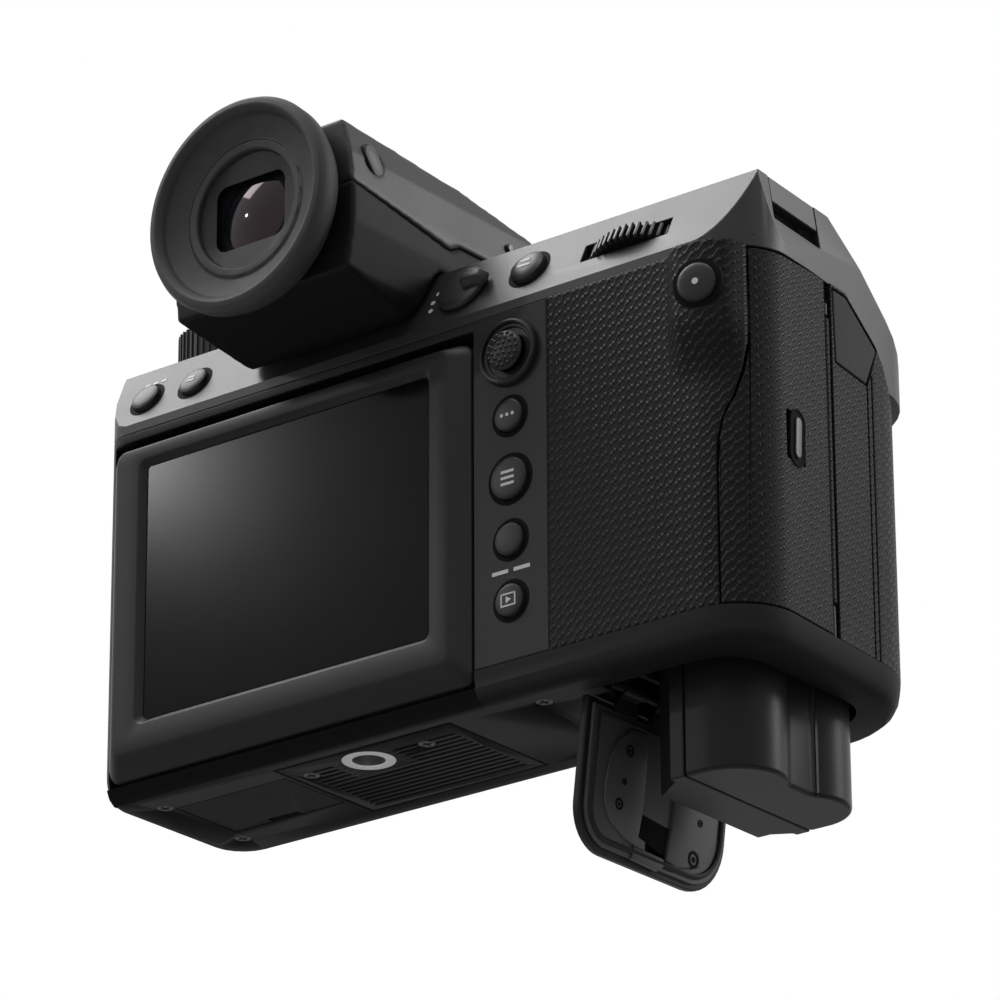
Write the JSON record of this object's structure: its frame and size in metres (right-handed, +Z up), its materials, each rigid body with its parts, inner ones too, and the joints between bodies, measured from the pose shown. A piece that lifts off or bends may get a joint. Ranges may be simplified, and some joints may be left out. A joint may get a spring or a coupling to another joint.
{
  "type": "medium format digital camera",
  "caption": "Medium format digital camera body with a deep grip, tilting rear monitor, detachable eye-level finder, hanging battery door and a battery part-way out.",
  "frame": {"origin": "centre of the tripod socket's mouth, on the plane of the base", "axes": "+X to the grip side as seen from behind, +Y forward out of the lens mount, +Z up"},
  "size_m": [0.1519, 0.0926, 0.1448],
  "materials": {
    "body_paint": "satin black paint on a magnesium shell",
    "top_paint": "fine satin black paint",
    "base_paint": "satin black paint",
    "covering": "embossed leatherette covering",
    "soft_rubber": "matt rubber",
    "alloy": "cast light alloy",
    "plated": "satin plated",
    "steel": "plain steel",
    "dark_plastic": "fine textured black plastic",
    "button_plastic": "satin black plastic",
    "dark_metal": "black coated metal",
    "board": "circuit board",
    "display": "clear gloss window over a dark display",
    "screen": "coated flat glass",
    "lens": "coated lens",
    "sensor": "coated sensor cover",
    "cell": "satin black plastic"
  },
  "bodies": {
    "body": {"front_shell": "body_paint", "rear_cover": "body_paint", "top_cover": "top_paint", "base_plate": "base_paint", "grip_skin_rear": "covering", "grip_skin_front": "covering", "chassis": "alloy", "lens_mount": "plated", "tripod_bush": "steel", "battery_box": "dark_plastic", "main_board": "board", "shutter_unit": "dark_metal", "card_reader": "steel", "strap_lugs": "dark_metal", "finder_shoe": "steel", "top_display": "display", "stick_collar": "dark_plastic", "screws": "dark_metal"},
    "door": {"battery_door": "body_paint", "door_liner": "dark_plastic"},
    "battery": {"battery_shell": "cell", "battery_back": "cell"},
    "monitor": {"monitor_housing": "dark_plastic", "monitor_glass": "screen"},
    "finder": {"finder_shell": "dark_plastic", "finder_base": "dark_plastic", "eyecup": "soft_rubber", "eyepiece_lens": "lens", "finder_panel": "board", "hot_shoe": "steel"},
    "door_latch": {"door_latch": "dark_plastic"},
    "monitor_lower_frame": {"monitor_lower_frame": "dark_metal"},
    "monitor_tilt_plate": {"monitor_tilt_plate": "dark_metal"},
    "rear_dial": {"rear_dial": "dark_metal"},
    "front_dial": {"front_dial": "dark_metal"},
    "mode_dial": {"mode_dial": "dark_metal"},
    "mode_lock": {"mode_lock": "button_plastic"},
    "focus_lever": {"focus_lever": "button_plastic"},
    "stick_gimbal": {"stick_gimbal": "steel"},
    "focus_stick": {"focus_stick": "button_plastic"},
    "exposure_button": {"exposure_button": "button_plastic"},
    "menu_button": {"menu_button": "button_plastic"},
    "display_button": {"display_button": "button_plastic"},
    "playback_button": {"playback_button": "button_plastic"},
    "focus_on_button": {"focus_on_button": "button_plastic"},
    "quick_button": {"quick_button": "button_plastic"},
    "drive_button": {"drive_button": "button_plastic"},
    "picture_button": {"picture_button": "button_plastic"},
    "shutter_button": {"shutter_button": "dark_metal"},
    "power_switch": {"power_switch": "dark_metal"},
    "card_door": {"card_door": "covering"},
    "card_latch": {"card_latch": "dark_plastic"},
    "remote_cover": {"remote_cover": "soft_rubber"},
    "port_door": {"port_door": "soft_rubber"},
    "contact_lid": {"contact_lid": "dark_plastic"},
    "view_button": {"view_button": "button_plastic"},
    "diopter_dial": {"diopter_dial": "button_plastic"},
    "sensor_carriage": {"sensor_carriage": "alloy"},
    "image_sensor": {"image_sensor": "sensor"},
    "lens_release": {"lens_release": "plated"}
  },
  "joints": [
    {"name": "battery_door_hinge", "type": "hinge", "parent": "body", "child": "door", "pos_m": [0.054, 0.018, 0.0026], "axis": [0, -1, 0], "range_deg": [0, 97]},
    {"name": "battery_slide", "type": "slide", "parent": "body", "child": "battery", "axis": [0, 0, 1], "range_m": [0, 0.028]},
    {"name": "door_latch_slide", "type": "slide", "parent": "door", "child": "door_latch", "axis": [-0.1219, 0, -0.9925], "range_m": [0, 0.001], "stiffness_N_per_m": 300},
    {"name": "monitor_low_hinge", "type": "hinge", "parent": "body", "child": "monitor_lower_frame", "pos_m": [0, -0.0105, 0.0046], "axis": [1, 0, 0], "range_deg": [0, 45]},
    {"name": "monitor_tilt_hinge", "type": "hinge", "parent": "monitor_lower_frame", "child": "monitor_tilt_plate", "pos_m": [0, -0.0132, 0.0675], "axis": [-1, 0, 0], "range_deg": [0, 90]},
    {"name": "monitor_side_hinge", "type": "hinge", "parent": "monitor_tilt_plate", "child": "monitor", "pos_m": [0.0315, -0.0105, 0.036], "axis": [0, 0, -1], "range_deg": [-60, 0]},
    {"name": "rear_dial_spin", "type": "hinge", "parent": "body", "child": "rear_dial", "pos_m": [0.0663, 0.00046, 0.07568], "axis": [0, 0.4384, 0.8988], "continuous": true},
    {"name": "front_dial_spin", "type": "hinge", "parent": "body", "child": "front_dial", "pos_m": [0.0726, 0.0446, 0.0639], "axis": [0, 0, 1], "continuous": true},
    {"name": "mode_dial_spin", "type": "hinge", "parent": "body", "child": "mode_dial", "pos_m": [-0.0415, 0.006, 0.092], "axis": [0, 0, 1], "continuous": true},
    {"name": "mode_lock_press", "type": "slide", "parent": "mode_dial", "child": "mode_lock", "axis": [0, 0, -1], "range_m": [0, 0.0006], "stiffness_N_per_m": 300},
    {"name": "focus_lever_turn", "type": "hinge", "parent": "body", "child": "focus_lever", "pos_m": [0.0293, -0.00913, 0.0811], "axis": [0, -0.8988, 0.4384], "range_deg": [-25, 25]},
    {"name": "stick_up_down", "type": "hinge", "parent": "body", "child": "stick_gimbal", "pos_m": [0.0423, -0.0086, 0.0642], "axis": [1, 0, 0], "range_deg": [-8, 8], "stiffness_Nm_per_rad": 0.02},
    {"name": "stick_left_right", "type": "hinge", "parent": "stick_gimbal", "child": "focus_stick", "pos_m": [0.0423, -0.0086, 0.0642], "axis": [0, 0, 1], "range_deg": [-8, 8], "stiffness_Nm_per_rad": 0.02},
    {"name": "exposure_press", "type": "slide", "parent": "body", "child": "exposure_button", "axis": [0, 1, 0], "range_m": [0, 0.0005], "stiffness_N_per_m": 300},
    {"name": "menu_press", "type": "slide", "parent": "body", "child": "menu_button", "axis": [0, 1, 0], "range_m": [0, 0.0005], "stiffness_N_per_m": 300},
    {"name": "display_press", "type": "slide", "parent": "body", "child": "display_button", "axis": [0, 1, 0], "range_m": [0, 0.0005], "stiffness_N_per_m": 300},
    {"name": "playback_press", "type": "slide", "parent": "body", "child": "playback_button", "axis": [0, 1, 0], "range_m": [0, 0.0005], "stiffness_N_per_m": 300},
    {"name": "focus_on_press", "type": "slide", "parent": "body", "child": "focus_on_button", "axis": [0, 0.8988, -0.4384], "range_m": [0, 0.0005], "stiffness_N_per_m": 300},
    {"name": "drive_press", "type": "slide", "parent": "body", "child": "drive_button", "axis": [0, 0.8988, -0.4384], "range_m": [0, 0.0005], "stiffness_N_per_m": 300},
    {"name": "picture_press", "type": "slide", "parent": "body", "child": "picture_button", "axis": [0, 0.8988, -0.4384], "range_m": [0, 0.0005], "stiffness_N_per_m": 300},
    {"name": "quick_press", "type": "slide", "parent": "body", "child": "quick_button", "axis": [-0.2174, 0.9761, 0], "range_m": [0, 0.0005], "stiffness_N_per_m": 300},
    {"name": "power_switch_turn", "type": "hinge", "parent": "body", "child": "power_switch", "pos_m": [0.07232, 0.04049, 0.07624], "axis": [0.2025, 0.5814, 0.788], "range_deg": [0, 40]},
    {"name": "shutter_press", "type": "slide", "parent": "body", "child": "shutter_button", "axis": [-0.2025, -0.5814, -0.788], "range_m": [0, 0.0015], "stiffness_N_per_m": 300},
    {"name": "card_door_hinge", "type": "hinge", "parent": "body", "child": "card_door", "pos_m": [0.09208, 0.0138, 0.039], "axis": [0, 0, 1], "range_deg": [0, 100]},
    {"name": "card_latch_slide", "type": "slide", "parent": "card_door", "child": "card_latch", "axis": [0, -1, 0], "range_m": [0, 0.0015], "stiffness_N_per_m": 300},
    {"name": "remote_cover_hinge", "type": "hinge", "parent": "body", "child": "remote_cover", "pos_m": [0.09289, 0.0159, 0.065], "axis": [0, 0, 1], "range_deg": [-100, 0]},
    {"name": "port_door_hinge", "type": "hinge", "parent": "body", "child": "port_door", "pos_m": [-0.0567, 0.0155, 0.038], "axis": [0, 0, 1], "range_deg": [-110, 0]},
    {"name": "contact_lid_pull", "type": "slide", "parent": "body", "child": "contact_lid", "axis": [0, 0, 1], "range_m": [-0.006, 0]},
    {"name": "finder_slide", "type": "slide", "parent": "body", "child": "finder", "axis": [0, 1, 0], "range_m": [-0.025, 0]},
    {"name": "view_press", "type": "slide", "parent": "finder", "child": "view_button", "axis": [-1, 0, 0], "range_m": [0, 0.0005], "stiffness_N_per_m": 300},
    {"name": "diopter_turn", "type": "hinge", "parent": "finder", "child": "diopter_dial", "pos_m": [-0.0215, -0.0224, 0.093], "axis": [1, 0, 0], "range_deg": [-120, 120]},
    {"name": "sensor_shift_x", "type": "slide", "parent": "body", "child": "sensor_carriage", "axis": [1, 0, 0], "range_m": [-0.0015, 0.0015], "stiffness_N_per_m": 2000},
    {"name": "sensor_shift_z", "type": "slide", "parent": "sensor_carriage", "child": "image_sensor", "axis": [0, 0, 1], "range_m": [-0.0015, 0.0015], "stiffness_N_per_m": 2000},
    {"name": "lens_release_press", "type": "slide", "parent": "body", "child": "lens_release", "axis": [0, -1, 0], "range_m": [0, 0.0012], "stiffness_N_per_m": 300}
  ],
  "couplings": [
    {"joint": "battery_slide", "follows": "battery_door_hinge", "m_per_rad": 0.01648}
  ]
}
